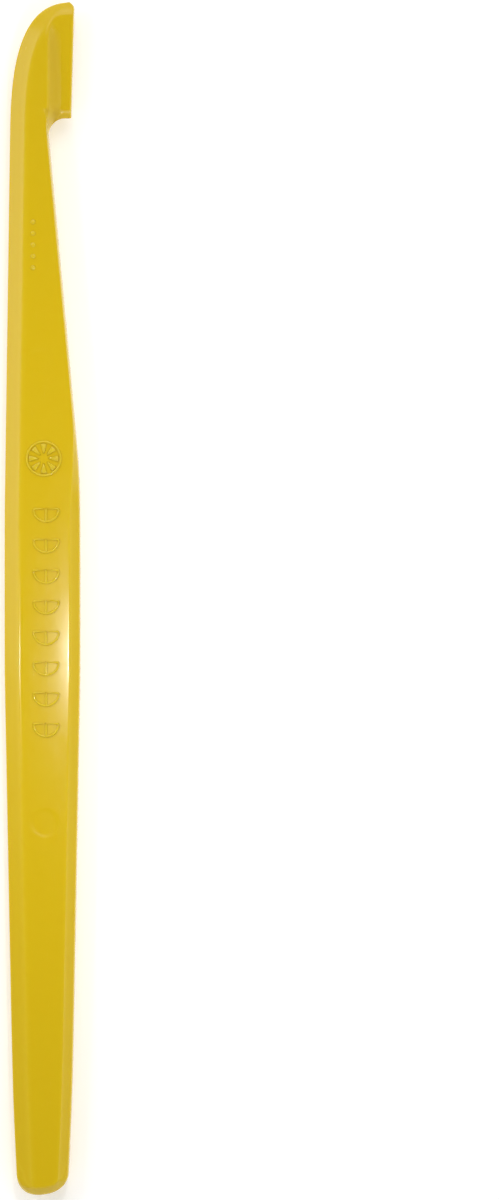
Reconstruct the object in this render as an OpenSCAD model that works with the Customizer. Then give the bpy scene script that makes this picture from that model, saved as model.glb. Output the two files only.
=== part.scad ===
// One-piece moulded citrus peeler: a slim bevelled stem with a curved lifting beak and a thin scoring tooth.
// It lies flat on its back. X runs across it, +Y runs from the tail to the beak and +Z points off its marked face.
// All sizes are in millimetres. The origin is at the middle of the back, on the surface the peeler lies on.

/* [Overall] */
// Length from the tail to the tip of the beak
length = 146; // [130:1:160]
// Width of the grip at its widest
grip_w = 9.38; // [8.6:0.02:10.5]
// Thickness of the grip, between its two flat faces
grip_t = 5; // [4:0.1:6]
// Thickness at the end of the tail
tail_t = 3.8; // [3:0.1:5]
// Thickness at the tip of the beak
beak_t = 4.2; // [3:0.1:5]

/* [Stem] */
// Width that the neck's taper comes down to at the tooth's ledge
neck_w = 4.58; // [4.2:0.02:5.2]
// Width of the heel, where the tail starts to draw in faster
heel_w = 7.4; // [7:0.1:8]
// Distance of the heel from the end of the tail
heel_l = 11.5; // [9:0.5:15]
// Width of the tail above its rounded end
tail_w = 6.5; // [5.6:0.1:6.9]
// Length of the neck, from the tooth down to the full width of the grip
neck_l = 43.9; // [36:0.1:50]
// Length of the tail's taper, from the full width of the grip to the end
tail_l = 64; // [50:0.5:70]
// How far the back edge leans in between the grip and the head
back_lean = 0.7; // [0:0.01:1]

/* [Head] */
// Height of the head, from the tooth's ledge to the tip
head_l = 14.2; // [12:0.1:17]
// Reach of the tooth from the middle of the grip
tooth_x = 3.52; // [3:0.02:4]
// Reach of the beak's front corner from the middle of the grip
tip_x = 3.92; // [3.6:0.02:4.4]
// Height of the small chamfer at the beak's front corner
tip_chamfer = 0.8; // [0.4:0.1:1.4]
// Length of the curve over the back of the head
brow_l = 16.7; // [14:0.1:18]
// Fullness of that curve, where 2 is an ellipse and more is squarer
brow_fullness = 2.83; // [2.4:0.01:3.2]
// Radius of the fillet between the neck and the tooth
notch_r = 2.2; // [1.4:0.1:2.4]
// Thickness of the thin web that ends in the tooth
web_t = 1.6; // [1.2:0.1:2.4]
// Where the sloped wall down to the web starts, from the middle of the grip
wall_x = 0.72; // [0.5:0.02:1.2]
// Width of the sloped wall
wall_w = 1.42; // [1:0.02:1.6]
// Distance from the tip to where the web starts to rise
web_end = 4; // [3:0.1:6]

/* [Bevels] */
// Width of the bevel along the back edge
back_bevel = 1.9; // [1.2:0.05:2.2]
// Width of the bevel along the front edge of the grip
front_bevel = 1.25; // [0.8:0.05:1.5]
// Width of the bevel along the front edge of the neck
neck_bevel = 0.25; // [0.15:0.05:0.5]
// Width of the bevel round the end of the tail
tail_bevel = 0.95; // [0.5:0.05:1.5]
// Depth of the bevels
bevel_drop = 1; // [0.6:0.05:1.2]
// Lean of the side walls towards the flat faces, for release from the mould
draft = 0.06; // [0.02:0.01:0.15]

/* [Ejector recesses] */
// Diameter of the two round recesses left by the ejector pins
ejector_d = 3.3; // [2.6:0.1:3.8]
// Depth of the recesses
ejector_depth = 0.1; // [0.05:0.01:0.2]
// Place of the upper recess along the stem
upper_ejector_y = 28.8; // [24:0.1:33]
// Place of the lower recess along the stem
lower_ejector_y = -27.4; // [-32:0.1:-23]

/* [Raised marks] */
// Height of the raised marks above the face
relief = 0.15; // [0.1:0.01:0.25]
// Width of the raised strokes
stroke = 0.28; // [0.2:0.02:0.4]
// Diameter of the round slice emblem
emblem_d = 4.4; // [3.6:0.1:5]
// Place of the slice emblem along the stem
emblem_y = 17.1; // [15:0.1:19]
// Number of segments in the slice emblem
emblem_segments = 8; // [6:1:10]
// Number of half slices in the row below the emblem
half_slices = 8; // [4:1:8]
// Distance from one half slice to the next
half_slice_pitch = 3.75; // [3.4:0.05:3.8]
// Radius of a half slice
half_slice_r = 1.7; // [1.2:0.05:1.7]
// Number of cavity dots near the neck
dots = 5; // [2:1:6]

/* [Hidden] */
end_y = length / 2;
ledge_y = end_y - head_l;
neck_y = ledge_y - neck_l;
taper_y = tail_l - end_y;
heel_y = heel_l - end_y;
half_w = grip_w / 2;
mid_z = grip_t / 2;
neck_x = neck_w - half_w + back_lean;
// The straight stretches turn into each other over these distances
grip_turn = 3.2;
taper_turn = 1.6;
heel_turn = 5;
// The tail's end is a round nose of this length, fuller on the back edge's side, with a short flat
nose_l = 2.7;
nose_x = -0.5;
nose_flat = 0.12;
// Reach of the brow's full curve, of which the beak's front edge cuts off the last part
brow_reach = 8.2;
corner_cut = 0.58;
tip_w = 0.1;
back_nose_fullness = 2.5;
front_nose_fullness = 2.2;
// The faces are flat and parallel between these heights, and thin slowly beyond them
flat_top_y = neck_y + 35;
flat_low_y = taper_y - 20;
// Rows of the loft: how many in the nose, tail, flat stretch, neck, notch, head and tip
nose_rows = 9;
tail_rows = 11;
flat_rows = 21;
neck_rows = 2;
notch_rows = 9;
head_rows = 14;
tip_rows = 10;
emblem_x = 0.2;
half_slice_x = 0.5;
half_slice_top_y = 11.1;
dot_x = -1.1;
dot_top_y = 46;
dot_pitch = 1.4;
dot_d = 0.62;
eps = 0.02;

// A ramp that starts at d = 0 and turns over the distance soft
function ramp(d, soft) = (d + sqrt(d * d + soft * soft)) / 2;
function mix(a, b, t) = a + (b - a) * t;
function step(t) = let (c = min(1, max(0, t))) c * c * (3 - 2 * c);
// How much of its width a round end of the given fullness keeps at the fraction t of its length
function round_off(t, fullness) = let (c = min(1, max(0, t))) pow(1 - pow(c, fullness), 1 / fullness);

// The stem's edges are straight stretches: the heel, the tail's taper, the grip and the neck's taper
taper_slope = (grip_w - heel_w) / 2 / (tail_l - heel_l);
heel_slope = (heel_w - tail_w) / 2 / (heel_l - nose_l) - taper_slope;
function draw_in(y) = taper_slope * ramp(taper_y - y, taper_turn) + heel_slope * ramp(heel_y - y, heel_turn);
function stem_back(y) = draw_in(y) - half_w + back_lean * max(0, y - neck_y + 5) / (neck_l + 5);
function stem_front(y) = half_w - draw_in(y) - (half_w - neck_x) * ramp(y - neck_y, grip_turn) / neck_l;

// The tail's nose narrows both edges towards its middle line
function nose_part(y) = (nose_l - end_y - y) / nose_l;
function nosed(x, y, fullness) = mix(nose_x, x, max(nose_flat, round_off(nose_part(y), fullness)));

// The back edge runs up the stem and over the brow of the head
function brow(y) = brow_reach * (1 - round_off((y - end_y + brow_l) / brow_l, brow_fullness));
function back_x(y) = min(nosed(stem_back(y), y, back_nose_fullness) + brow(y), front_x(y) - tip_w);

// The front edge runs up the stem, round the notch's fillet, out along the ledge and up the web's edge
function fillet_x(y) = let (d = y - ledge_y + notch_r)
    d < 0 ? 0 : notch_r - sqrt(max(0, notch_r * notch_r - d * d));
function web_front(y) = mix(tooth_x, tip_x, (y - ledge_y) / (head_l - tip_chamfer));
function chamfered(y) = corner_cut * pow(max(0, y - end_y + tip_chamfer) / tip_chamfer, 2);
function tooth_corner(y) = 0.14 * (1 - step((y - ledge_y) / 0.5));
function front_x(y) = y < ledge_y
    ? nosed(stem_front(y), y, front_nose_fullness) + fillet_x(y)
    : web_front(y) - chamfered(y) - tooth_corner(y);

// Half the thickness between the two flat faces
function face_h(y) = mid_z
    - (grip_t - tail_t) / 2 * step((flat_low_y - y) / (flat_low_y + end_y))
    - (grip_t - beak_t) / 2 * step((y - flat_top_y) / (end_y - flat_top_y));

// How much wider the back bevel gets across X where the back edge turns over the brow
function back_slope(y) = (back_x(y + eps) - back_x(y - eps)) / (2 * eps);
function turned(y) = y > end_y - eps || y < eps - end_y ? 12 : sqrt(1 + pow(back_slope(y), 2));
function back_bevel_h(x, y) = face_h(y) - bevel_drop
    + bevel_drop * (x - back_x(y)) / (back_bevel * turned(y));
function tail_bevel_h(y) = face_h(y) - bevel_drop * (1 - min(1, (y + end_y) / tail_bevel));
function bevelled(h, x, y) = min(h, max(face_h(y) - bevel_drop, min(back_bevel_h(x, y), tail_bevel_h(y))));

// The web lies low between the ledge and the beak, behind the sloped wall
function in_head(y) = step((y - ledge_y + notch_r) / notch_r);
function web_rise(y) = step((y - end_y + web_end) / (web_end - 1.4));
function web_h(y) = mix(web_t / 2, face_h(y) - bevel_drop * 0.7, web_rise(y));
function stem_bevel(y) = mix(front_bevel, neck_bevel, step((y - neck_y + 6) / 14));

// Each row has six columns: back edge, back crease, middle, front crease, foot of the slope, front edge
function back_crease(y) = min(back_x(y) + back_bevel * turned(y), mix(back_x(y), front_x(y), 0.45));
function front_crease(y) = max(mix(back_crease(y), front_x(y), 0.15),
    mix(front_x(y) - stem_bevel(y), min(wall_x, front_x(y) - 0.2), in_head(y)));
function slope_foot(y) = max(mix(front_crease(y), front_x(y), 0.3),
    mix(front_x(y) - stem_bevel(y) / 2, min(wall_x + wall_w, front_x(y) - 0.1), in_head(y)));
function low_h(y, share) = mix(face_h(y) - bevel_drop * share, web_h(y), in_head(y));
function columns(y) = [
    for (c = [
        [back_x(y) + draft, face_h(y) - bevel_drop],
        [back_crease(y), face_h(y)],
        [mix(back_crease(y), front_crease(y), 0.5), face_h(y)],
        [front_crease(y), face_h(y)],
        [slope_foot(y), low_h(y, 0.5)],
        [front_x(y) - draft, low_h(y, 1)]
    ]) [c[0], bevelled(c[1], c[0], y)]
];

// The rows stand closer together where the outline turns
rows = concat(
    [for (i = [0 : nose_rows - 1]) -end_y + nose_l * (1 - cos(90 * i / nose_rows))],
    [for (i = [0 : tail_rows - 1]) mix(-end_y + nose_l, flat_low_y, i / tail_rows)],
    [for (i = [0 : flat_rows - 1]) mix(flat_low_y, flat_top_y, i / flat_rows)],
    [for (i = [0 : neck_rows - 1]) mix(flat_top_y, ledge_y - notch_r - 0.3, i / neck_rows)],
    [for (i = [0 : notch_rows - 1]) ledge_y - notch_r - 0.3 + (notch_r + 0.3 - eps) * sin(90 * i / notch_rows)],
    [for (i = [0 : head_rows - 1]) mix(ledge_y + eps, end_y - web_end, pow(i / head_rows, 1.4))],
    [for (i = [0 : tip_rows]) end_y - web_end + web_end * sin(90 * i / tip_rows)]
);

// One closed loop of points round the section, over the front and back under the body
function section(y) = let (c = columns(y)) concat(
    [[back_x(y), y, mid_z]],
    [for (p = c) [p[0], y, mid_z + p[1]]],
    [[front_x(y), y, mid_z]],
    [for (i = [len(c) - 1 : -1 : 0]) [c[i][0], y, mid_z - c[i][1]]]
);

module body_loft() {
    loops = [for (y = rows) section(y)];
    n = len(loops[0]);
    last = len(loops) - 1;
    sides = [for (j = [0 : last - 1]) for (i = [0 : n - 1]) let (k = (i + 1) % n)
        each [[j * n + i, (j + 1) * n + i, (j + 1) * n + k], [j * n + i, (j + 1) * n + k, j * n + k]]];
    tail_cap = [for (i = [0 : n - 1]) i];
    tip_cap = [for (i = [n - 1 : -1 : 0]) last * n + i];
    polyhedron(points = [for (l = loops) each l], faces = concat(sides, [tail_cap, tip_cap]), convexity = 6);
}

module ejector_recess(x, y) {
    translate([x, y, grip_t - ejector_depth])
        cylinder(d = ejector_d, h = 1, $fn = 48);
}

module moulded_body() {
    color([0.87, 0.73, 0.14])
        difference() {
            body_loft();
            ejector_recess(-0.2, upper_ejector_y);
            ejector_recess(0.36, lower_ejector_y);
        }
}

// A raised citrus slice: a rim round a ring of wedge segments
module slice_emblem() {
    rim_r = emblem_d / 2;
    wedge_r = rim_r - 2 * stroke;
    color([0.9, 0.77, 0.2])
        translate([emblem_x, emblem_y, grip_t])
            linear_extrude(height = relief) {
                difference() {
                    circle(r = rim_r, $fn = 64);
                    circle(r = rim_r - stroke, $fn = 64);
                }
                for (i = [0 : emblem_segments - 1])
                    rotate(i * 360 / emblem_segments)
                        segment_wedge(wedge_r);
            }
}

// One wedge segment, with its point kept clear of the slice's middle
module segment_wedge(r) {
    half = 180 / emblem_segments - 7;
    polygon([
        [0.22 * r, 0],
        [r * cos(half), -r * sin(half)],
        [r, 0],
        [r * cos(half), r * sin(half)]
    ]);
}

// A raised outline of half a slice, its flat side across the stem, with one rib up its middle
module half_slice() {
    inner_r = half_slice_r - stroke;
    difference() {
        intersection() {
            circle(r = half_slice_r, $fn = 48);
            translate([-half_slice_r, -half_slice_r])
                square([2 * half_slice_r, half_slice_r]);
        }
        intersection() {
            circle(r = inner_r, $fn = 48);
            translate([-half_slice_r, -half_slice_r - stroke])
                square([2 * half_slice_r, half_slice_r]);
        }
    }
    translate([-stroke / 2, -half_slice_r + stroke / 2])
        square([stroke, half_slice_r - stroke]);
}

module half_slice_row() {
    color([0.9, 0.77, 0.2])
        for (i = [0 : half_slices - 1])
            translate([half_slice_x, half_slice_top_y - i * half_slice_pitch, grip_t])
                linear_extrude(height = relief)
                    half_slice();
}

// A column of raised dots that tells one mould cavity from the next
module cavity_dots() {
    color([0.9, 0.77, 0.2])
        for (i = [0 : dots - 1])
            translate([dot_x, dot_top_y - i * dot_pitch, grip_t])
                cylinder(d = dot_d, h = relief, $fn = 24);
}

moulded_body();
slice_emblem();
half_slice_row();
cavity_dots();
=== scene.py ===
"""A one-piece moulded citrus peeler: a slim bevelled stem with a curved beak and a thin scoring tooth."""

import math

import bpy
from bpy.props import FloatProperty, FloatVectorProperty, IntProperty, PointerProperty
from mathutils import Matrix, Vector


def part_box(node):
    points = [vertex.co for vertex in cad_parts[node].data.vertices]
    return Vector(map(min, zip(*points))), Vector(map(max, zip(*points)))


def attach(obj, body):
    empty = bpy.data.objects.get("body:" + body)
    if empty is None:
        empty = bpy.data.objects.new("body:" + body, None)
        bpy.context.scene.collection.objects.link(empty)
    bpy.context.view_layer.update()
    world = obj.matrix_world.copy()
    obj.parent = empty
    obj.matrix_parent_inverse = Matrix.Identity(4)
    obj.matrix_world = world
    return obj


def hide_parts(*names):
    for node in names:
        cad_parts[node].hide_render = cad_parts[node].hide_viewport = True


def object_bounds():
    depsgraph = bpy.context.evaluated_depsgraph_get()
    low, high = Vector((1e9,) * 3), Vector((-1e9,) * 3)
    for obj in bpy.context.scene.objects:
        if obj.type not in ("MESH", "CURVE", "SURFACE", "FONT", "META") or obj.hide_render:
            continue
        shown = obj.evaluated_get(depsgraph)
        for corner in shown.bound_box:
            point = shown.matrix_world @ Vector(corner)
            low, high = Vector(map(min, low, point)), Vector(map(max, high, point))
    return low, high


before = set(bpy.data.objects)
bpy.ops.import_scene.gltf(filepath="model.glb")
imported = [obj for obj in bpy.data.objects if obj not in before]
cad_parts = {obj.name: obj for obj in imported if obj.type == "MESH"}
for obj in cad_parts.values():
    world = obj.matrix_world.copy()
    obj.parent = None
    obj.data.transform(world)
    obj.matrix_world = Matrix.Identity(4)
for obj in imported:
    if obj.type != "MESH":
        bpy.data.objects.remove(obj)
CAD_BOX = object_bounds()
BODY_LOW, BODY_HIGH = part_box("moulded_body")
EMBLEM_LOW, EMBLEM_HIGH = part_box("slice_emblem")
ROW_LOW, ROW_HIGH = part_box("half_slice_row")
DOTS_LOW, DOTS_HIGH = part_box("cavity_dots")

bl_info = {
    "name": "Citrus peeler",
    "version": (1, 0, 0),
    "blender": (4, 5, 0),
    "location": "3D View > Sidebar > Peeler",
    "description": "Builds a moulded citrus peeler and a small studio round it",
    "category": "Add Mesh",
}

MM = 0.001
QUARTER = math.pi / 2


# ---------------------------------------------------------------------------
# Node expressions
# ---------------------------------------------------------------------------


class Net:
    """Adds nodes to one shader or geometry tree."""

    def __init__(self, tree):
        self.tree = tree

    def add(self, kind, settings=None, feeds=None, out=0):
        """Adds a node, its settings first and then its sockets' values or links, and returns one output."""
        node = self.tree.nodes.new(kind)
        for name, value in (settings or {}).items():
            if name == "stops":
                self.set_stops(node.color_ramp, value)
            else:
                setattr(node, name, value)
        for key, value in (feeds or {}).items():
            self.feed(node.inputs[key], value)
        return Term(self, node, out) if node.outputs else None

    def feed(self, socket, value):
        """Links a term, or each term of a list, to a socket, or sets the socket's own value."""
        if isinstance(value, list):
            for each in value:
                self.feed(socket, each)
        elif isinstance(value, Term):
            self.tree.links.new(value.socket, socket)
        else:
            socket.default_value = value

    @staticmethod
    def set_stops(ramp, stops):
        """Gives a colour ramp its stops, as (position, grey) pairs."""
        while len(ramp.elements) < len(stops):
            ramp.elements.new(1.0)
        for element, (position, grey) in zip(ramp.elements, stops):
            element.position = position
            element.color = (grey, grey, grey, 1)


class Term:
    """One output of a node. Each operation on terms and numbers adds a Math node."""

    def __init__(self, net, node, out=0):
        self.net = net
        self.node = node
        self.socket = node.outputs[out]

    def output(self, name):
        return Term(self.net, self.node, name)

    def math(self, operation, *values, clamp=False):
        settings = {"operation": operation, "use_clamp": clamp}
        return self.net.add("ShaderNodeMath", settings, dict(enumerate(values)))

    def __add__(self, other):
        return self.math("ADD", self, other)

    def __radd__(self, other):
        return self.math("ADD", other, self)

    def __sub__(self, other):
        return self.math("SUBTRACT", self, other)

    def __rsub__(self, other):
        return self.math("SUBTRACT", other, self)

    def __mul__(self, other):
        return self.math("MULTIPLY", self, other)

    def __rmul__(self, other):
        return self.math("MULTIPLY", other, self)

    def __truediv__(self, other):
        return self.math("DIVIDE", self, other)

    def __rtruediv__(self, other):
        return self.math("DIVIDE", other, self)

    def __pow__(self, other):
        return self.math("POWER", self, other)

    def __neg__(self):
        return self.math("MULTIPLY", self, -1.0)

    def __abs__(self):
        return self.math("ABSOLUTE", self)

    def root(self):
        return self.math("SQRT", self)

    def sine(self):
        return self.math("SINE", self)

    def cosine(self):
        return self.math("COSINE", self)

    def clamped(self):
        """The value kept between 0 and 1."""
        return self.math("ADD", self, 0.0, clamp=True)

    def at_most(self, other):
        return self.math("MINIMUM", self, other)

    def at_least(self, other):
        return self.math("MAXIMUM", self, other)

    def soft_at_most(self, other, distance):
        return self.math("SMOOTH_MIN", self, other, distance)

    def soft_at_least(self, other, distance):
        return self.math("SMOOTH_MAX", self, other, distance)


def blend(low, high, share):
    """The value that lies the given share of the way from low to high."""
    return low + (high - low) * share


def part(value, start, end):
    """How much of the way from start to end the value has gone, kept between 0 and 1."""
    return ((value - start) / (end - start)).clamped()


def eased(share):
    """A share that starts and ends gently."""
    return share * share * (3.0 - 2.0 * share)


def vector(net, x, y, z):
    """A vector made of three values."""
    return net.add("ShaderNodeCombineXYZ", None, {0: x, 1: y, 2: z})


def stored(net, geometry, name, value):
    """Keeps a value at each point under a name that the plastic reads."""
    settings = {"data_type": "FLOAT", "domain": "POINT"}
    feeds = {"Geometry": geometry, "Name": name, "Value": value}
    return net.add("GeometryNodeStoreNamedAttribute", settings, feeds)


def ramp_up(distance, softness):
    """Zero before distance 0 and the distance after it, turning over the given softness."""
    return (distance + (distance * distance + softness * softness).root()) / 2.0


def rounding(share, fullness):
    """How much of its width a round end keeps at a share of its length."""
    return (1.0 - share**fullness).at_least(0.0) ** (1.0 / fullness)


# ---------------------------------------------------------------------------
# Sizes and colours
# ---------------------------------------------------------------------------


def length_size(name, description, millimetres):
    """A size in metres with its default given in millimetres."""
    return FloatProperty(
        name=name, description=description, default=millimetres * MM, unit="LENGTH", precision=5
    )


def colour(name, description, red, green, blue):
    return FloatVectorProperty(
        name=name, description=description, default=(red, green, blue), subtype="COLOR", size=3, min=0, max=1
    )


class BodySizes(bpy.types.PropertyGroup):
    """Sizes of the moulded body"""

    heel_width: length_size("Heel width", "Width where the tail starts to draw in faster", 7.4)
    heel_length: length_size("Heel length", "Distance of the heel from the end of the tail", 11.5)
    tail_width: length_size("Tail width", "Width above the rounded end of the tail", 6.5)
    tail_length: length_size("Tail length", "Length of the taper from the grip to the end of the tail", 64)
    neck_width: length_size("Neck width", "Width that the neck's taper comes down to at the ledge", 4.58)
    neck_length: length_size("Neck length", "Length of the neck's taper, up to the tooth's ledge", 43.9)
    back_lean: length_size("Back lean", "How far the back edge leans in up to the head", 0.7)
    head_length: length_size("Head length", "Height of the head from the tooth's ledge to the tip", 14.2)
    tooth_reach: length_size("Tooth reach", "Reach of the tooth from the middle of the grip", 3.52)
    tip_reach: length_size("Tip reach", "Reach of the beak's front corner from the middle of the grip", 3.92)
    brow_length: length_size("Brow length", "Length of the curve over the back of the head", 16.7)
    brow_reach: length_size("Brow reach", "Reach of the brow's full curve", 8.2)
    notch_radius: length_size("Notch radius", "Radius of the fillet between the neck and the tooth", 2.2)
    tail_thickness: length_size("Tail thickness", "Thickness at the end of the tail", 3.8)
    beak_thickness: length_size("Beak thickness", "Thickness at the tip of the beak", 4.2)
    web_thickness: length_size("Web thickness", "Thickness of the thin web that ends in the tooth", 1.6)
    wall_place: length_size("Wall place", "Where the sloped wall down to the web starts", 0.72)
    wall_width: length_size("Wall width", "Width of the sloped wall", 1.42)
    back_bevel: length_size("Back bevel", "Width of the bevel along the back edge", 1.9)
    front_bevel: length_size("Front bevel", "Width of the bevel along the front edge of the grip", 1.25)
    neck_bevel: length_size("Neck bevel", "Width of the bevel along the front edge of the neck", 0.25)
    tail_bevel: length_size("Tail bevel", "Width of the bevel round the end of the tail", 0.95)
    bevel_depth: length_size("Bevel depth", "Depth of the bevels", 1.0)
    crown: length_size("Crown", "How far the face falls from its middle to its sides", 0.12)
    edge_radius: length_size("Edge radius", "Radius of the outer edges", 0.2)
    crease_width: length_size("Crease width", "Softness of the creases beside the bevels", 0.16)
    draft: length_size("Draft", "Lean of the side walls, for release from the mould", 0.06)
    lip_width: length_size("Lip width", "Width of the sloped facet along the tooth's lower lip", 1.05)
    lip_edge: length_size("Lip edge", "Width of the steeper edge below that facet", 0.5)
    recess_diameter: length_size("Recess diameter", "Diameter of the ejector recesses", 3.3)
    recess_depth: length_size("Recess depth", "Depth of the ejector recesses", 0.04)
    upper_recess: length_size("Upper recess", "Place of the upper recess along the stem", 28.8)
    lower_recess: length_size("Lower recess", "Place of the lower recess along the stem", -27.4)


class MarkSizes(bpy.types.PropertyGroup):
    """Sizes of the raised marks"""

    stroke: length_size("Stroke", "Width of the raised strokes", 0.28)
    half_slices: IntProperty(name="Half slices", description="Number of half slices in the row", default=8)
    half_slice_radius: length_size("Half slice radius", "Radius of each half slice", 1.7)
    segments: IntProperty(name="Segments", description="Number of segments in the round emblem", default=8)
    dots: IntProperty(name="Dots", description="Number of cavity dots", default=5)
    dot_diameter: length_size("Dot diameter", "Diameter of each cavity dot", 0.62)


class PeelerColours(bpy.types.PropertyGroup):
    """Colours of the plastic and the stage"""

    plastic: colour("Plastic", "Body colour of the yellow plastic", 0.69, 0.475, 0.004)
    # Pale plastic is wear along the edges and creases, and also a painted highlight on the raised marks
    pale_plastic: colour("Pale plastic", "The plastic where it is stressed or rubbed", 0.73, 0.53, 0.020)
    deep_plastic: colour("Deep plastic", "The plastic where its colour is densest", 0.65, 0.445, 0.002)
    # Painted shade: a darker plastic laid over the head's sloped wall, which sees less light
    painted_shade_plastic: colour("Shaded plastic", "The plastic on the head's sloped wall", 0.61, 0.395, 0.002)
    floor: colour("Floor", "The floor under the peeler", 0.93, 0.93, 0.93)


# ---------------------------------------------------------------------------
# Pieces
# ---------------------------------------------------------------------------

SOCKET_KINDS = {int: "NodeSocketInt", float: "NodeSocketFloat"}


def make_piece(name, shape, inputs, colours):
    """Runs a geometry tree, and keeps its result as one plain mesh in place of the CAD node of that name."""
    plastic = material_named("yellow_plastic_moulded", plastic_material, colours)
    host = bpy.data.objects.new(name + "_piece", bpy.data.meshes.new(name))
    bpy.context.scene.collection.objects.link(host)
    tree = bpy.data.node_groups.new(name, "GeometryNodeTree")
    modifier = host.modifiers.new(name, "NODES")
    sockets = {}
    for label, value in inputs.items():
        kind = SOCKET_KINDS[type(value)]
        sockets[label] = tree.interface.new_socket(name=label, in_out="INPUT", socket_type=kind)
    tree.interface.new_socket(name="Mesh", in_out="OUTPUT", socket_type="NodeSocketGeometry")
    net = Net(tree)
    entry = net.add("NodeGroupInput")
    solid = shape(net, {label: entry.output(label) for label in inputs})
    real = net.add("GeometryNodeRealizeInstances", None, {"Geometry": solid})
    coated = net.add("GeometryNodeSetMaterial", None, {"Geometry": real, "Material": plastic})
    net.add("NodeGroupOutput", None, {0: coated})
    modifier.node_group = tree
    for label, value in inputs.items():
        modifier[sockets[label].identifier] = value
    bpy.context.view_layer.update()
    evaluated = host.evaluated_get(bpy.context.evaluated_depsgraph_get())
    result = bpy.data.meshes.new_from_object(evaluated)
    host.modifiers.remove(modifier)
    host.data = result
    if not result.polygons:
        raise RuntimeError(f"the tree of {name} made no faces")
    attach(host, "root")
    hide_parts(name)


def sizes_of(group):
    """The values of a property group's sizes, by their labels."""
    properties = group.bl_rna.properties
    keys = [key for key in properties.keys() if key not in ("rna_type", "name")]
    return {properties[key].name: getattr(group, key) for key in keys}


# ---------------------------------------------------------------------------
# The moulded body
# ---------------------------------------------------------------------------

# Points round the section: over the front, down one side wall, under the back and up the other side
FRONT_COLUMNS = 96
WALL_COLUMNS = 8
BACK_COLUMNS = 44
RING = FRONT_COLUMNS + BACK_COLUMNS + 2 * WALL_COLUMNS

# Shares of a face's columns between its edges and creases, from the back edge to the front edge
COLUMN_SHARES = (0.05, 0.10, 0.10, 0.40, 0.18, 0.12, 0.05)

# The tail's round nose: its length, middle line, and how full its two corners are
NOSE_LENGTH = 2.7 * MM
NOSE_MIDDLE = -0.5 * MM
NOSE_FLAT = 0.12
BACK_NOSE_FULLNESS = 2.5
FRONT_NOSE_FULLNESS = 2.2

# Distances over which the straight stretches of the stem turn into each other
TAPER_TURN = 1.6 * MM
HEEL_TURN = 5 * MM
GRIP_TURN = 3.2 * MM
LEAN_TURN = 2 * MM
LEAN_START = 5 * MM

# The faces are parallel from this far below the grip to this far up the neck
PARALLEL_BELOW = 20 * MM
PARALLEL_ABOVE = 35 * MM

# The head's brow, the cut corner at its tip and the small corner of the tooth
BROW_FULLNESS = 2.83
TIP_SPAN = 1.0 * MM
TIP_CUT_SPAN = 0.8 * MM
TIP_CUT = 0.58 * MM
TIP_WIDTH = 0.1 * MM
CORNER = 0.12 * MM

# How steeply the web rises to the beak, how softly the wall and the web turn, and the slopes of the lip
WEB_RISE = 0.17
WEB_RISE_TURN = 1.2 * MM
WALL_FILLET = 1.2 * MM
WALL_BRINK = 0.45 * MM
LIP_TURN = 0.05 * MM
LIP_SLOPE = 0.34
LIP_EDGE_SLOPE = 0.5

# Stretches over which something changes: how far before a place each starts, and how far past it each ends
BEVEL_NARROWS = (6 * MM, 8 * MM)
WALL_STARTS = (2.4 * MM, 1.8 * MM)
WALL_STEEPENS = (2.4 * MM, 2.0 * MM)
BRINK_SOFTENS = (1.8 * MM, 1.4 * MM)
TIP_SOFTENS = (9.0 * MM, -2.0 * MM)
# Where the painted shade on the head's wall fades in past the wall's top, out before the web and out before
# the tip
SHADE_FROM_FACE = (0.2 * MM, 0.5 * MM)
SHADE_FROM_WEB = (-1.9 * MM, 0.9 * MM)
SHADE_FROM_TIP = (2.2 * MM, -5.5 * MM)

# How much a crease is rubbed beside a sharp edge, and the least share of a reach that a distance uses
CREASE_RUB = 0.6
LEAST_SHARE = 0.001

# Stretches of rows that hold the ejector recesses, the rims' reach, and the recesses' places across the stem
RECESS_SPAN = 4.0 * MM
RIM_OUTSIDE = 0.3 * MM
RIM_INSIDE = 0.4 * MM
RECESS_PLACES = {"Upper recess": -0.2 * MM, "Lower recess": 0.36 * MM}


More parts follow.
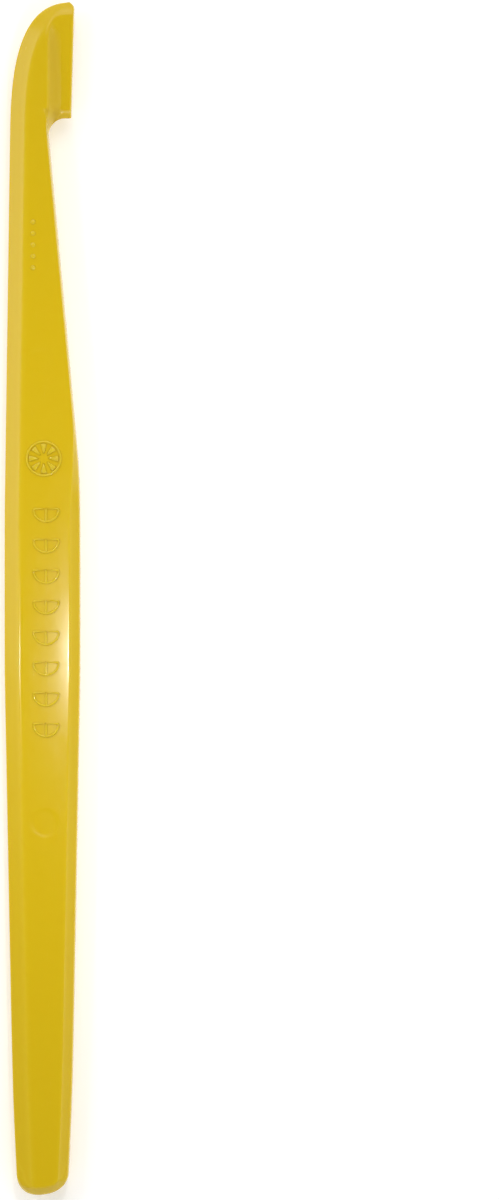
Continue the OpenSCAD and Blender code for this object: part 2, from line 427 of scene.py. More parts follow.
class Outline:
    """The body's edges as seen from above, and the heights of its faces."""

    def __init__(self, size):
        self.size = size
        self.end = size["Length"] / 2.0
        self.half_width = size["Width"] / 2.0
        self.middle = size["Thickness"] / 2.0
        self.ledge = self.end - size["Head length"]
        self.neck = self.ledge - size["Neck length"]
        self.nose = NOSE_LENGTH - self.end

    def drawn_in(self, y):
        """How far each edge has drawn in along the tail and the heel."""
        size = self.size
        taper = (size["Width"] - size["Heel width"]) / 2.0 / (size["Tail length"] - size["Heel length"])
        heel = (size["Heel width"] - size["Tail width"]) / 2.0 / (size["Heel length"] - NOSE_LENGTH) - taper
        tail_ramp = ramp_up(size["Tail length"] - self.end - y, TAPER_TURN)
        return taper * tail_ramp + heel * ramp_up(size["Heel length"] - self.end - y, HEEL_TURN)

    def stem_back(self, y):
        """Where the back edge of the stem lies across it."""
        run = self.size["Neck length"] + LEAN_START
        lean = self.size["Back lean"] * ramp_up(y - self.neck + LEAN_START, LEAN_TURN) / run
        return self.drawn_in(y) - self.half_width + lean

    def stem_front(self, y):
        """Where the front edge of the stem lies across it."""
        neck_edge = self.size["Neck width"] - self.half_width + self.size["Back lean"]
        narrowing = (self.half_width - neck_edge) * ramp_up(y - self.neck, GRIP_TURN)
        return self.half_width - self.drawn_in(y) - narrowing / self.size["Neck length"]

    def nosed(self, x, y, fullness):
        """Narrows an edge towards the middle of the tail's round nose."""
        kept = rounding(part(y, self.nose, -self.end), fullness).at_least(NOSE_FLAT)
        return blend(NOSE_MIDDLE, x, kept)

    def brow(self, y):
        """How far the back edge has come over at the head."""
        share = part(y, self.end - self.size["Brow length"], self.end)
        return self.size["Brow reach"] * (1.0 - rounding(share, BROW_FULLNESS))

    def face(self, y):
        """Half the thickness between the flat faces."""
        size = self.size
        tail_start = size["Tail length"] - self.end - PARALLEL_BELOW
        beak_start = self.neck + PARALLEL_ABOVE
        tail_loss = (size["Thickness"] - size["Tail thickness"]) / 2.0
        beak_loss = (size["Thickness"] - size["Beak thickness"]) / 2.0
        thinned = tail_loss * eased(part(y, tail_start, -self.end))
        return self.middle - thinned - beak_loss * eased(part(y, beak_start, self.end))

    def inside_back(self, x, y):
        """Distance in from the back edge, measured across it as it turns over the brow."""
        reach = self.size["Brow reach"]
        run = self.size["Brow length"]
        across = ((self.stem_back(y) + reach - x) / reach).at_least(LEAST_SHARE)
        up = part(y, self.end - run, self.end)
        return inside_round(across, up, reach, run, BROW_FULLNESS)

    def inside_nose(self, x, y):
        """Distance in from the round end of the tail."""
        reach = blend(NOSE_MIDDLE - self.stem_back(y), self.stem_front(y) - NOSE_MIDDLE, part(x, -MM, MM))
        across = (abs(x - NOSE_MIDDLE) / reach).at_least(LEAST_SHARE)
        down = part(y, self.nose, -self.end)
        beyond = (y - self.nose).at_least(0.0) * 0.6
        return inside_round(across, down, reach, NOSE_LENGTH, FRONT_NOSE_FULLNESS) + beyond


def inside_round(across, along, reach, run, fullness):
    """Distance in from a rounded edge, where across and along are shares of its reach and run."""
    level = (across**fullness + along**fullness) ** (1.0 / fullness)
    slope_across = (across / level) ** (2.0 * fullness - 2.0) / (reach * reach)
    slope_along = (along / level) ** (2.0 * fullness - 2.0) / (run * run)
    return (1.0 - level) / (slope_across + slope_along).root()


def row_places(outline, row):
    """Where each row of the section meets the back and the front edge, along the stem."""
    size = outline.size
    notch = size["Notch radius"]
    lower = size["Lower recess"] - RECESS_SPAN / 2.0
    upper = size["Upper recess"] - RECESS_SPAN / 2.0
    web_start = outline.ledge + CORNER
    web_run = outline.end - TIP_SPAN - web_start
    grip_run = upper - lower - RECESS_SPAN
    taper_run = outline.ledge - notch - upper - RECESS_SPAN
    # Each span has its number of rows, and how far the back and the front edge move along it
    spans = {
        "nose": (20, NOSE_LENGTH, NOSE_LENGTH),
        "tail": (78, lower - outline.nose, lower - outline.nose),
        "lower recess": (44, RECESS_SPAN, RECESS_SPAN),
        "grip": (96, grip_run, grip_run),
        "upper recess": (44, RECESS_SPAN, RECESS_SPAN),
        "taper": (70, taper_run, taper_run),
        "fillet": (34, notch * 0.9, notch),
        "ledge": (8, notch * 0.1, 0.0),
        "corner": (6, CORNER, CORNER),
        "web": (96, web_run, web_run),
        "tip": (36, TIP_SPAN, TIP_SPAN),
    }
    total = sum(span[0] for span in spans.values())
    shares = {}
    back_y = front_y = -outline.end
    done = 0
    for name, (rows, back_run, front_run) in spans.items():
        share = part(row, done / total, (done + rows) / total)
        done += rows
        shares[name] = share
        if name == "nose":
            share = 1.0 - (share * QUARTER).cosine()
        elif name == "tip":
            share = 1.0 - (1.0 - share) ** 2.8
        back_y = back_y + back_run * share
        if name == "fillet":
            share = (share * QUARTER).sine()
        elif name == "corner":
            share = 1.0 - (share * QUARTER).cosine()
        front_y = front_y + front_run * share
    return total, shares, back_y, front_y


def edge_places(outline, shares, back_y, front_y):
    """Where each row meets the back and the front edge, across the stem."""
    size = outline.size
    notch = size["Notch radius"]
    ledge_start = outline.stem_front(outline.ledge) + notch
    stem = outline.nosed(outline.stem_front(front_y.at_most(outline.ledge)), front_y, FRONT_NOSE_FULLNESS)
    fillet = notch * (1.0 - (shares["fillet"] * QUARTER).cosine())
    ledge = (size["Tooth reach"] - CORNER - ledge_start) * shares["ledge"]
    corner = CORNER * (shares["corner"] * QUARTER).sine()
    cut_start = outline.end - TIP_CUT_SPAN
    web = (size["Tip reach"] - size["Tooth reach"]) * part(front_y, outline.ledge, cut_start)
    cut = TIP_CUT * part(front_y, cut_start, outline.end) ** 2.0
    front_x = stem + fillet + ledge + corner + web - cut
    back_x = outline.nosed(outline.stem_back(back_y), back_y, BACK_NOSE_FULLNESS) + outline.brow(back_y)
    return back_x.at_most(front_x - TIP_WIDTH), front_x


def passing(distance, place, stretch):
    """0 to 1 as a distance passes a place, over a stretch."""
    before, past = stretch
    return part(distance, place - before, place + past)


def bevel_width(outline, y):
    """Width of the front edge's bevel, which narrows up the neck."""
    size = outline.size
    up_neck = eased(passing(y, outline.neck, BEVEL_NARROWS))
    return blend(size["Front bevel"], size["Neck bevel"], up_neck)


def wall_line(outline, y):
    """Where the wall down to the web starts across the head, and how steep it is."""
    size = outline.size
    width = bevel_width(outline, y)
    head = eased(passing(y, outline.ledge, WALL_STARTS))
    top = blend(outline.stem_front(y) - width, size["Wall place"], head)
    head_slope = (outline.face(y) - size["Web thickness"] / 2.0) / size["Wall width"]
    steep = eased(passing(y, outline.ledge, WALL_STEEPENS))
    return top, blend(size["Bevel depth"] / width, head_slope, steep)


def web_pocket(outline, y, face, wall):
    """Height of the wall and the thin web, which rises to the beak and has a sloped lip at the tooth."""
    size = outline.size
    facet = ramp_up(outline.ledge + size["Lip width"] - y, LIP_TURN) * LIP_SLOPE
    lip = facet + ramp_up(outline.ledge + size["Lip edge"] - y, LIP_TURN) * LIP_EDGE_SLOPE
    web = size["Web thickness"] / 2.0 - lip
    rise = face - (outline.end - y) * WEB_RISE
    return wall.soft_at_least(web, WALL_FILLET).soft_at_least(rise, WEB_RISE_TURN)


def painted_wall_shade(outline, x, y, top):
    """How much painted shade darkens the plastic: full along the head's wall, where the wall sees less
    light, fading before the tip.
    """
    from_face = eased(passing(x, top, SHADE_FROM_FACE))
    from_web = eased(passing(x, top, SHADE_FROM_WEB))
    from_tip = eased(passing(y, outline.end, SHADE_FROM_TIP))
    return from_face * from_web * from_tip


def face_height(outline, x, y, side_share):
    """Height of the front face above the parting line, how near a crease is, and how much painted shade
    darkens the wall.
    """
    size = outline.size
    soft = size["Crease width"]
    depth = size["Bevel depth"]
    off_middle = side_share * 2.0 - 1.0
    face = outline.face(y) - size["Crown"] * off_middle * off_middle
    from_back = outline.inside_back(x, y)
    back_bevel = face - depth * (1.0 - from_back / size["Back bevel"])
    from_nose = outline.inside_nose(x, y)
    nose_bevel = face - depth * (1.0 - from_nose / size["Tail bevel"])
    top, slope = wall_line(outline, y)
    wall = face - (x - top) * slope
    pocket = web_pocket(outline, y, face, wall)
    head = passing(y, outline.ledge, BRINK_SOFTENS)
    brink = blend(soft, WALL_BRINK, head)
    towards_tip = passing(y, outline.end, TIP_SOFTENS)
    height = face.soft_at_most(back_bevel, soft * (2.0 + 4.0 * towards_tip))
    height = height.soft_at_most(nose_bevel, soft).soft_at_most(pocket, brink)
    # Painted shade along the head's sloped wall, from about the ledge up
    shade = painted_wall_shade(outline, x, y, top) * head
    bevels = (back_bevel, nose_bevel, wall)
    near = [(1.0 - abs(face - bevel) / (2.0 * soft)).clamped() for bevel in bevels]
    crease = near[0].at_least(near[1]).at_least(near[2]) * (1.0 - towards_tip) * CREASE_RUB
    return height, crease, shade, from_back, from_nose


def recess_drop(outline, x, y):
    """Depth of the two round ejector recesses."""
    size = outline.size
    radius = size["Recess diameter"] / 2.0
    drop = 0.0
    for label, place in RECESS_PLACES.items():
        dx = x - place
        dy = y - size[label]
        away = (dx * dx + dy * dy).root()
        drop = drop + eased(part(away, radius + RIM_OUTSIDE, radius - RIM_INSIDE))
    return drop * size["Recess depth"]


def column_share(column, row_width, outline, y):
    """Where a column lies between the back and the front edge, with more columns beside the creases."""
    size = outline.size
    top = wall_line(outline, y)[0]
    tooth = size["Tooth reach"] * part(y, outline.ledge, outline.ledge + MM)
    front_room = outline.stem_front(y).at_least(tooth) - top
    stops = [
        0.0,
        (size["Edge radius"] * 1.3 / row_width).at_most(0.07),
        ((size["Back bevel"] - 0.3 * MM) / row_width).at_most(0.32),
        ((size["Back bevel"] + 0.3 * MM) / row_width).at_most(0.44),
        1.0 - ((front_room + 0.25 * MM) / row_width).at_most(0.52),
        1.0 - ((front_room * 0.4).at_least(0.3 * MM) / row_width).at_most(0.24),
        1.0 - (size["Edge radius"] * 1.3 / row_width).at_most(0.07),
        1.0,
    ]
    share = 0.0
    done = 0.0
    for columns, start, end in zip(COLUMN_SHARES, stops, stops[1:]):
        share = share + (end - start) * part(column, done, done + columns)
        done += columns
    return share


def shape_body(net, size):
    """The whole body: a blank cylinder whose rings become the sections along the stem."""
    outline = Outline(size)
    place = net.add("GeometryNodeInputPosition")
    axes = net.add("ShaderNodeSeparateXYZ", None, {0: place})
    turn = axes.math("ARCTAN2", axes.output("Y"), axes.output("X")) / (2.0 * math.pi) + 1.0
    around = turn.math("FRACT", turn)
    row = axes.output("Z") + 0.5
    total, shares, back_y, front_y = row_places(outline, row)
    back_x, front_x = edge_places(outline, shares, back_y, front_y)

    front_end = FRONT_COLUMNS / RING
    wall_end = (FRONT_COLUMNS + WALL_COLUMNS) / RING
    under_end = (FRONT_COLUMNS + WALL_COLUMNS + BACK_COLUMNS) / RING
    column = part(around, 0.0, front_end) - part(around, wall_end, under_end)
    side = 1.0 - 2.0 * part(around, front_end, wall_end) + 2.0 * part(around, under_end, 1.0)
    share = column_share(column, front_x - back_x, outline, (back_y + front_y) / 2.0)
    lean = size["Draft"] * abs(side) * (1.0 - 2.0 * share)
    x = blend(back_x, front_x, share) + lean
    y = blend(back_y, front_y, share)

    height, crease, shade, from_back, from_nose = face_height(outline, x, y, share)
    radius = size["Edge radius"]
    to_front = (front_x - back_x) * (1.0 - share)
    edge = 1.0 - (from_back / radius).at_most(to_front / radius).at_most(from_nose / radius).clamped()
    height = height - radius * (1.0 - (1.0 - edge * edge).at_least(0.0).root())
    z = outline.middle + side * height - side.clamped() * recess_drop(outline, x, y)

    blank = net.add(
        "GeometryNodeMeshCylinder",
        {"fill_type": "NGON"},
        {"Vertices": RING, "Side Segments": total, "Fill Segments": 1, "Radius": 1.0, "Depth": 1.0},
    )
    marked = stored(net, blank, "edge", edge.at_least(crease))
    # The pale edges are wear; the shade attribute is painted shade on the head's wall, on the front only
    with_painted_shade = stored(net, marked, "shade", shade * side.clamped())
    target = vector(net, x, y, z)
    moved = net.add("GeometryNodeSetPosition", None, {"Geometry": with_painted_shade, "Position": target})
    return net.add("GeometryNodeSetShadeSmooth", None, {"Geometry": moved, "Shade Smooth": True})


# ---------------------------------------------------------------------------
# The raised marks
# ---------------------------------------------------------------------------

STROKE_SIDES = 12
WEDGE_GAP = 0.24
WEDGE_TOP = 0.8
MERGE_DISTANCE = MM / 500


def stroke_along(net, path, size, caps=False):
    """A raised stroke along a flat path: a thin bar whose upper half stands out of the face."""
    profile = net.add(
        "GeometryNodeCurvePrimitiveCircle",
        {"mode": "RADIUS"},
        {"Resolution": STROKE_SIDES, "Radius": size["Stroke"] / 2.0},
    )
    bar = net.add(
        "GeometryNodeCurveToMesh", None, {"Curve": path, "Profile Curve": profile, "Fill Caps": caps}
    )
    stretch = vector(net, 1.0, 1.0, size["Relief"] * 2.0 / size["Stroke"])
    return net.add("GeometryNodeTransform", None, {"Geometry": bar, "Scale": stretch})


def placed(net, geometry, size):
    """Moves a mark to its place on the face, and stores it as an edge, so the plastic paints it pale: a
    painted highlight where the raised strokes catch the light.
    """
    place = vector(net, size["Across"], size["Along"], size["Up"])
    moved = net.add("GeometryNodeTransform", None, {"Geometry": geometry, "Translation": place})
    # Painted highlight: the whole mark is stored as an edge, which the plastic paints pale
    rubbed = stored(net, moved, "edge", 1.0)
    return net.add("GeometryNodeSetShadeSmooth", None, {"Geometry": rubbed, "Shade Smooth": True})


def row_down(net, piece, count, pitch):
    """Copies of a piece, one below the other."""
    step = vector(net, 0.0, -pitch, 0.0)
    line = net.add("GeometryNodeMeshLine", {"mode": "OFFSET"}, {"Count": count, "Offset": step})
    return net.add("GeometryNodeInstanceOnPoints", None, {"Points": line, "Instance": piece})


def shape_half_slices(net, size):
    """A row of half slices, each a half-round outline with a rib up its middle."""
    radius = size["Half slice radius"] - size["Stroke"] / 2.0
    arc = net.add(
        "GeometryNodeCurveArc",
        {"mode": "RADIUS"},
        {
            "Resolution": 28,
            "Radius": radius,
            "Start Angle": math.pi,
            "Sweep Angle": math.pi,
            "Connect Center": True,
        },
    )
    corners = {"Curve": arc, "Count": 4, "Radius": size["Stroke"] * 0.8}
    outline = net.add("GeometryNodeFilletCurve", {"mode": "POLY"}, corners)
    ends = {"Start": (0.0, 0.0, 0.0), "End": vector(net, 0.0, -radius, 0.0)}
    rib = net.add("GeometryNodeCurvePrimitiveLine", {"mode": "POINTS"}, ends)
    slice_parts = [stroke_along(net, outline, size), stroke_along(net, rib, size, caps=True)]
    half_slice = net.add("GeometryNodeJoinGeometry", None, {0: slice_parts})
    return placed(net, row_down(net, half_slice, size["Half slices"], size["Pitch"]), size)


def shape_emblem(net, size):
    """A round citrus slice: a rim round a ring of wedge segments."""
    rim_radius = size["Diameter"] / 2.0
    circle = net.add(
        "GeometryNodeCurvePrimitiveCircle",
        {"mode": "RADIUS"},
        {"Resolution": 72, "Radius": rim_radius - size["Stroke"] / 2.0},
    )
    rim = stroke_along(net, circle, size)
    step = 2.0 * math.pi / size["Segments"]
    wedge_path = net.add(
        "GeometryNodeCurveArc",
        {"mode": "RADIUS"},
        {
            "Resolution": 9,
            "Radius": rim_radius - 2.3 * size["Stroke"],
            "Start Angle": (WEDGE_GAP - step) / 2.0,
            "Sweep Angle": step - WEDGE_GAP,
            "Connect Center": True,
        },
    )
    corners = {"Curve": wedge_path, "Count": 3, "Radius": size["Stroke"] * 0.35}
    softened = net.add("GeometryNodeFilletCurve", {"mode": "POLY"}, corners)
    flat = net.add("GeometryNodeFillCurve", {"mode": "NGONS"}, {"Curve": softened})
    raised = net.add(
        "GeometryNodeExtrudeMesh",
        {"mode": "FACES"},
        {"Mesh": flat, "Offset Scale": size["Relief"], "Individual": False},
    )
    top = net.add(
        "GeometryNodeScaleElements",
        {"domain": "FACE"},
        {"Geometry": raised, "Selection": raised.output("Top"), "Scale": WEDGE_TOP},
    )
    under = net.add("GeometryNodeFlipFaces", None, {"Mesh": flat})
    shell = net.add("GeometryNodeJoinGeometry", None, {0: [top, under]})
    solid = net.add("GeometryNodeMergeByDistance", None, {"Geometry": shell, "Distance": MERGE_DISTANCE})
    outward = vector(net, size["Stroke"], 0.0, 0.0)
    wedge = net.add("GeometryNodeTransform", None, {"Geometry": solid, "Translation": outward})
    ring = net.add(
        "GeometryNodeMeshLine", {"mode": "OFFSET"}, {"Count": size["Segments"], "Offset": (0.0, 0.0, 0.0)}
    )
    index = net.add("GeometryNodeInputIndex")
    turn = vector(net, 0.0, 0.0, index * step)
    wedges = net.add(
        "GeometryNodeInstanceOnPoints", None, {"Points": ring, "Instance": wedge, "Rotation": turn}
    )
    return placed(net, net.add("GeometryNodeJoinGeometry", None, {0: [rim, wedges]}), size)


def shape_dots(net, size):
    """A column of low domes."""
    ball = net.add(
        "GeometryNodeMeshUVSphere", None, {"Segments": 24, "Rings": 14, "Radius": size["Dot diameter"] / 2.0}
    )
    flatten = vector(net, 1.0, 1.0, size["Relief"] * 2.0 / size["Dot diameter"])
    dome = net.add("GeometryNodeTransform", None, {"Geometry": ball, "Scale": flatten})
    return placed(net, row_down(net, dome, size["Dots"], size["Pitch"]), size)


# ---------------------------------------------------------------------------
# Materials
# ---------------------------------------------------------------------------


def new_material(name):
    """An empty node material and the Net that fills it."""
    material = bpy.data.materials.new(name)
    material.use_nodes = True
    material.node_tree.nodes.clear()
    return material, Net(material.node_tree)


# Each pattern in the plastic: its features per metre, its detail, and its scale along the stem
PATTERNS = {
    "drift": (60.0, 2.0, 0.35),
    "mottle": (900.0, 3.0, 1.0),
    "grain": (6000.0, 2.0, 1.0),
    "brushed": (2600.0, 3.0, 0.05),
    "scratches": (500.0, 1.0, 0.12),
}

# A scratch lies wherever its noise passes through the middle value
SCRATCH_STOPS = [(0.0, 0.0), (0.495, 0.0), (0.5, 1.0), (0.505, 0.0)]


def pattern(net, where, name):
    """Noise of about 0 to 1, as PATTERNS gives it."""
    scale, detail, along = PATTERNS[name]
    mapped = net.add("ShaderNodeMapping", None, {"Vector": where, "Scale": (1.0, along, 1.0)})
    return net.add("ShaderNodeTexNoise", None, {"Vector": mapped, "Scale": scale, "Detail": detail})


def mixed(net, share, low, high):
    """A colour between low and high."""
    feeds = {0: share, 6: low, 7: high}
    return net.add("ShaderNodeMix", {"data_type": "RGBA"}, feeds, out=2)


def rgba(values):
    return (*values, 1.0)


def plastic_material(colours):
    """Semi-gloss yellow plastic with slow colour drift, mould texture, faint scratches, rubbed edges, a
    painted highlight on the raised marks and painted shade on the head's wall.
    """
    material, net = new_material("yellow_plastic_moulded")
    where = net.add("ShaderNodeTexCoord").output("Object")
    edge = net.add("ShaderNodeAttribute", {"attribute_name": "edge"}).output("Fac")
    shade = net.add("ShaderNodeAttribute", {"attribute_name": "shade"}).output("Fac")
    drift = pattern(net, where, "drift")
    mottle = pattern(net, where, "mottle")
    grain = pattern(net, where, "grain")
    brushed = pattern(net, where, "brushed")
    scratches = net.add(
        "ShaderNodeValToRGB", {"stops": SCRATCH_STOPS}, {0: pattern(net, where, "scratches")}
    )
    tone = ((drift - 0.5) * 1.1 + (mottle - 0.5) * 0.35 + 0.5).clamped()
    base = mixed(net, tone, rgba(colours.deep_plastic), rgba(colours.plastic))
    # Pale where the edge attribute is high: wear along the body's edges and creases, and a painted highlight
    # on the raised marks
    rubbed = (edge * (0.35 + 0.5 * mottle)).clamped()
    base = mixed(net, rubbed, base, rgba(colours.pale_plastic))
    # Painted shade: the head's sloped wall is darkened towards a darker plastic
    base = mixed(net, shade * 0.5, base, rgba(colours.painted_shade_plastic))
    gloss = 0.2 + (mottle - 0.5) * 0.10 + (brushed - 0.5) * 0.10 + scratches * 0.06
    gloss = gloss - edge * 0.09 + shade * 0.3
    relief = grain * 0.35 + mottle * 0.5 + brushed * 0.5 - scratches * 0.6
    bump = net.add("ShaderNodeBump", None, {"Strength": 0.25, "Distance": 0.006 * MM, "Height": relief})
    shader = net.add(
        "ShaderNodeBsdfPrincipled",
        None,
        {
            "Base Color": base,
            "Roughness": gloss,
            "Normal": bump,
            "IOR": 1.49,
            "Specular IOR Level": 0.4,
            "Subsurface Weight": 0.15,
            "Subsurface Radius": (1.0, 0.6, 0.12),
            "Subsurface Scale": 1.2 * MM,
        },
    )
    net.add("ShaderNodeOutputMaterial", None, {"Surface": shader})
    return material


def floor_material(colours):
    """A plain pale matt floor."""
    material, net = new_material("pale_floor")
    shader = net.add(
        "ShaderNodeBsdfPrincipled",
        None,
        {
            "Base Color": rgba(colours.floor),
            "Roughness": 0.9,
            "Emission Color": (1.0, 1.0, 1.0, 1.0),
            "Emission Strength": 0.26,
        },
    )
    net.add("ShaderNodeOutputMaterial", None, {"Surface": shader})
    return material


def material_named(name, maker, colours):
    """The material of that name, made on first use."""
    return bpy.data.materials.get(name) or maker(colours)


# ---------------------------------------------------------------------------
# Stage
# ---------------------------------------------------------------------------

FLOOR_HALF = 3.0
FRAME_DOWN = -0.18 * MM


def watts(name, description, power):
    return FloatProperty(name=name, description=description, default=power, unit="POWER")


class StageSizes(bpy.types.PropertyGroup):
    """Sizes of the camera and the lights"""

    lens: FloatProperty(name="Lens", description="Focal length of the camera", default=200, unit="CAMERA")
    frame_height: length_size("Frame height", "Height of the view at the peeler's mid-thickness", 146.98)
    aside: length_size("Aside", "How far the camera stands to the right of the peeler", 25.34)
    lamp_power: watts("Lamp power", "Power of the small lamp overhead", 0.017)
    glint_power: watts("Glint power", "Power of the small lamp on the left", 0.014)
    left_power: watts("Left power", "Power of the softbox on the left", 0.58)
    right_power: watts("Right power", "Power of the softbox on the right", 0.19)
    upper_power: watts("Upper power", "Power of the softbox past the beak", 0.5)
    sky: FloatProperty(name="Sky", description="Strength of the even light from all sides", default=0.975)
    overhead: FloatProperty(name="Overhead", description="Share of the sky kept overhead", default=0.2)
    sideward: FloatProperty(name="Sideward", description="Share of the sky kept at the sides", default=0.4)


# Each light's place, the point it faces, its width and its height, in metres
LIGHTS = {
    "lamp": ((0.012, -0.0075, 0.10), (0.002, -0.0065, 0.005), 0.004, 0.004),
    "glint": ((-0.07, -0.009, 0.12), (-0.002, -0.0065, 0.005), 0.004, 0.004),
    "left": ((-0.38, 0.15, 0.26), (0.0, 0.03, 0.0), 0.36, 0.28),
    "right": ((0.42, -0.03, 0.22), (0.0, -0.01, 0.0), 0.30, 0.30),
    "upper": ((0.05, 0.32, 0.38), (0.0, 0.03, 0.0), 0.30, 0.30),
}


def add_area_light(name, power):
    """A soft rectangular light that faces its target."""
    place, target, width, height = LIGHTS[name]
    data = bpy.data.lights.new(name + "_light", "AREA")
    data.shape = "RECTANGLE"
    data.size = width
    data.size_y = height
    data.energy = power
    light = bpy.data.objects.new(name + "_light", data)
    light.location = place
    light.rotation_euler = (Vector(target) - Vector(place)).to_track_quat("-Z", "Y").to_euler()
    light.visible_camera = False
    bpy.context.scene.collection.objects.link(light)


def add_world(stage):
    """Even light from all sides, with less from straight overhead and from low at the sides."""
    world = bpy.data.worlds.new("studio")
    world.use_nodes = True
    world.node_tree.nodes.clear()
    net = Net(world.node_tree)
    direction = net.add("ShaderNodeTexCoord").output("Generated")
    axes = net.add("ShaderNodeSeparateXYZ", None, {0: direction})
    from_overhead = eased(part(axes.output("Z"), 0.6, 0.93))
    from_side = eased(part(axes.output("X"), -0.45, -0.8)) + eased(part(axes.output("X"), 0.75, 0.95))
    from_above = blend(stage.sky, stage.sky * stage.overhead, from_overhead)
    strength = from_above * blend(1.0, stage.sideward, from_side)
    light = net.add("ShaderNodeBackground", None, {"Color": (1.0, 1.0, 1.0, 1.0), "Strength": strength})
    net.add("ShaderNodeOutputWorld", None, {"Surface": light})
    bpy.context.scene.world = world


def add_camera(stage):
    """A camera straight above, with the peeler on the left of its view."""
    low, high = CAD_BOX
    data = bpy.data.cameras.new("camera")
    data.lens = stage.lens
    data.sensor_fit = "AUTO"
    data.sensor_width = 36
    data.clip_start = 0.05
    data.clip_end = 20
    above = stage.frame_height * stage.lens / data.sensor_width
    camera = bpy.data.objects.new("camera", data)
    middle = (low + high) / 2
    height = (BODY_LOW.z + BODY_HIGH.z) / 2 + above
    camera.location = (middle.x + stage.aside, middle.y + FRAME_DOWN, height)
    bpy.context.scene.collection.objects.link(camera)
    bpy.context.scene.camera = camera


# ---------------------------------------------------------------------------
# Operators
# ---------------------------------------------------------------------------


class PEELER_OT_moulded_body(bpy.types.Operator):
    """Build the moulded body of the peeler"""

    bl_idname = "peeler.moulded_body"
    bl_label = "Moulded body"

    def execute(self, context):
        inputs = {
            "Length": BODY_HIGH.y - BODY_LOW.y,
            "Width": BODY_HIGH.x - BODY_LOW.x,
            "Thickness": BODY_HIGH.z - BODY_LOW.z,
        }
        inputs.update(sizes_of(context.scene.peeler_body))
        make_piece("moulded_body", shape_body, inputs, context.scene.peeler_colours)
        return {"FINISHED"}


class PEELER_OT_slice_emblem(bpy.types.Operator):
    """Raise the round slice emblem on the face"""

    bl_idname = "peeler.slice_emblem"
    bl_label = "Slice emblem"

    def execute(self, context):
        marks = context.scene.peeler_marks
        middle = (EMBLEM_LOW + EMBLEM_HIGH) / 2
        inputs = {
            "Stroke": marks.stroke,
            "Relief": EMBLEM_HIGH.z - EMBLEM_LOW.z,
            "Diameter": EMBLEM_HIGH.x - EMBLEM_LOW.x,
            "Segments": marks.segments,
            "Across": middle.x,
            "Along": middle.y,
            "Up": EMBLEM_LOW.z,
        }
        make_piece("slice_emblem", shape_emblem, inputs, context.scene.peeler_colours)
        return {"FINISHED"}


class PEELER_OT_half_slice_row(bpy.types.Operator):
    """Raise the row of half slices on the face"""

    bl_idname = "peeler.half_slice_row"
    bl_label = "Half-slice row"

    def execute(self, context):
        marks = context.scene.peeler_marks
        run = ROW_HIGH.y - ROW_LOW.y - marks.half_slice_radius
        inputs = {
            "Stroke": marks.stroke,
            "Relief": ROW_HIGH.z - ROW_LOW.z,
            "Half slice radius": marks.half_slice_radius,
            "Half slices": marks.half_slices,
            "Pitch": run / (marks.half_slices - 1),
            "Across": (ROW_LOW.x + ROW_HIGH.x) / 2,
            "Along": ROW_HIGH.y - marks.stroke / 2,
            "Up": ROW_LOW.z,
        }
        make_piece("half_slice_row", shape_half_slices, inputs, context.scene.peeler_colours)
        return {"FINISHED"}


class PEELER_OT_cavity_dots(bpy.types.Operator):
    """Raise the column of cavity dots on the neck"""

    bl_idname = "peeler.cavity_dots"
    bl_label = "Cavity dots"

    def execute(self, context):
        marks = context.scene.peeler_marks
        run = DOTS_HIGH.y - DOTS_LOW.y - marks.dot_diameter
        inputs = {
            "Relief": DOTS_HIGH.z - DOTS_LOW.z,
            "Dot diameter": marks.dot_diameter,
            "Dots": marks.dots,
            "Pitch": run / (marks.dots - 1),
            "Across": (DOTS_LOW.x + DOTS_HIGH.x) / 2,
            "Along": DOTS_HIGH.y - marks.dot_diameter / 2,
            "Up": DOTS_LOW.z,
        }
        make_piece("cavity_dots", shape_dots, inputs, context.scene.peeler_colours)
        return {"FINISHED"}


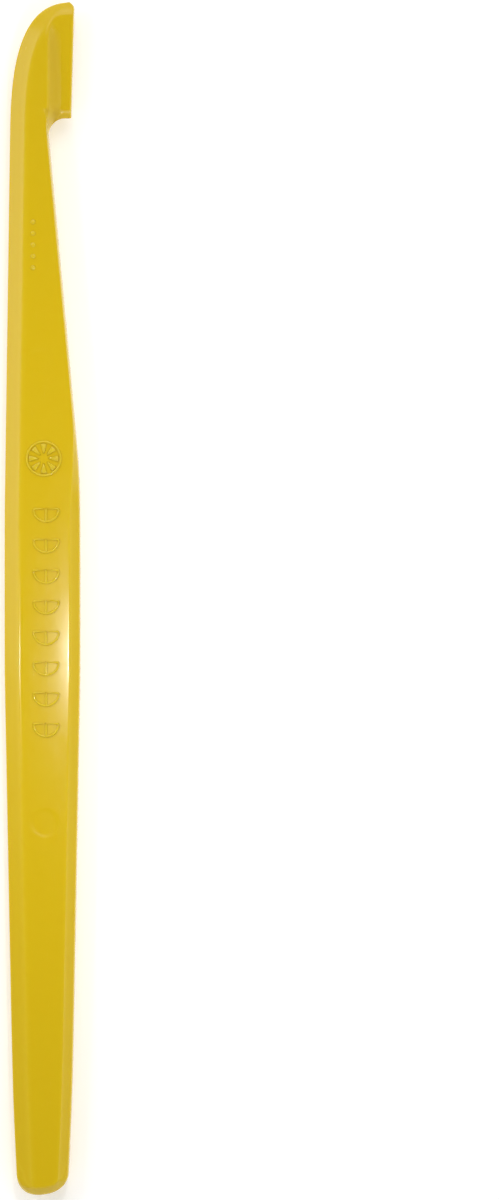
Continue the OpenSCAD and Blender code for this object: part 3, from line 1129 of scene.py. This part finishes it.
class PEELER_OT_stage(bpy.types.Operator):
    """Set up the pale floor, the soft lights and the camera"""

    bl_idname = "peeler.stage"
    bl_label = "Stage"

    def execute(self, context):
        stage = context.scene.peeler_stage
        corners = [(x * FLOOR_HALF, y * FLOOR_HALF, 0.0) for x, y in ((-1, -1), (1, -1), (1, 1), (-1, 1))]
        mesh = bpy.data.meshes.new("floor")
        mesh.from_pydata(corners, [], [(0, 1, 2, 3)])
        mesh.materials.append(material_named("pale_floor", floor_material, context.scene.peeler_colours))
        floor = bpy.data.objects.new("floor", mesh)
        context.scene.collection.objects.link(floor)
        for name in LIGHTS:
            add_area_light(name, getattr(stage, name + "_power"))
        add_world(stage)
        context.scene.view_settings.view_transform = "Standard"
        add_camera(stage)
        return {"FINISHED"}


class PEELER_PT_panel(bpy.types.Panel):
    """Lists the peeler's sizes, colours and pieces"""

    bl_label = "Citrus peeler"
    bl_idname = "PEELER_PT_panel"
    bl_space_type = "VIEW_3D"
    bl_region_type = "UI"
    bl_category = "Peeler"

    def draw(self, context):
        for name, group in GROUPS.items():
            box = self.layout.box()
            box.label(text=group.__doc__)
            for key in group.__annotations__:
                box.prop(getattr(context.scene, name), key)
        for operator in OPERATORS:
            self.layout.operator(operator.bl_idname)


GROUPS = {
    "peeler_body": BodySizes,
    "peeler_marks": MarkSizes,
    "peeler_colours": PeelerColours,
    "peeler_stage": StageSizes,
}
OPERATORS = (
    PEELER_OT_moulded_body,
    PEELER_OT_slice_emblem,
    PEELER_OT_half_slice_row,
    PEELER_OT_cavity_dots,
    PEELER_OT_stage,
)


def register():
    for name, group in GROUPS.items():
        bpy.utils.register_class(group)
        setattr(bpy.types.Scene, name, PointerProperty(type=group))
    for kind in (*OPERATORS, PEELER_PT_panel):
        bpy.utils.register_class(kind)


def unregister():
    for kind in (PEELER_PT_panel, *reversed(OPERATORS)):
        bpy.utils.unregister_class(kind)
    for name, group in reversed(GROUPS.items()):
        delattr(bpy.types.Scene, name)
        bpy.utils.unregister_class(group)


def main():
    """Builds every piece and the stage."""
    register()
    bpy.ops.peeler.moulded_body()
    bpy.ops.peeler.slice_emblem()
    bpy.ops.peeler.half_slice_row()
    bpy.ops.peeler.cavity_dots()
    bpy.ops.peeler.stage()


if __name__ == "__main__":
    main()
